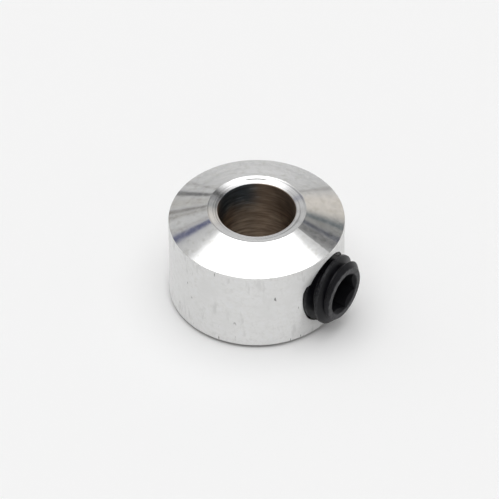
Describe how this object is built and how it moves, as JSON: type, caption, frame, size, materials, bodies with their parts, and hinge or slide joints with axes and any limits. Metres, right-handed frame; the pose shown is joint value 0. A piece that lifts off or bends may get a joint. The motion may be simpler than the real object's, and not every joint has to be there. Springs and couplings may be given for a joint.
{
  "type": "shaft collar",
  "caption": "Small turned aluminium shaft collar with a bevelled front face and a black socket set screw in a radial tapped hole.",
  "frame": {"origin": "on the bore's axis, halfway between the collar's two end faces", "axes": "+Z along the bore towards the bevelled front face; +X along the set screw, pointing out of its hole"},
  "size_m": [0.0104, 0.0094, 0.0058],
  "materials": {
    "turned_aluminium": "bright turned, fine circular tool marks",
    "black_oxide_steel": "satin black oxide"
  },
  "bodies": {
    "collar": {"collar": "turned_aluminium"},
    "screw_point": {"set_screw_point": "black_oxide_steel"},
    "set_screw": {"set_screw": "black_oxide_steel"}
  },
  "joints": [
    {"name": "set_screw_advance", "type": "slide", "parent": "collar", "child": "screw_point", "axis": [1, 0, 0], "range_m": [-0.00112, 0.00105]},
    {"name": "set_screw_turn", "type": "hinge", "parent": "screw_point", "child": "set_screw", "pos_m": [0.0057, 0, -0.00028], "axis": [1, 0, 0], "range_deg": [-576, 540]}
  ],
  "couplings": [
    {"joint": "set_screw_turn", "follows": "set_screw_advance", "rad_per_m": 8976}
  ]
}
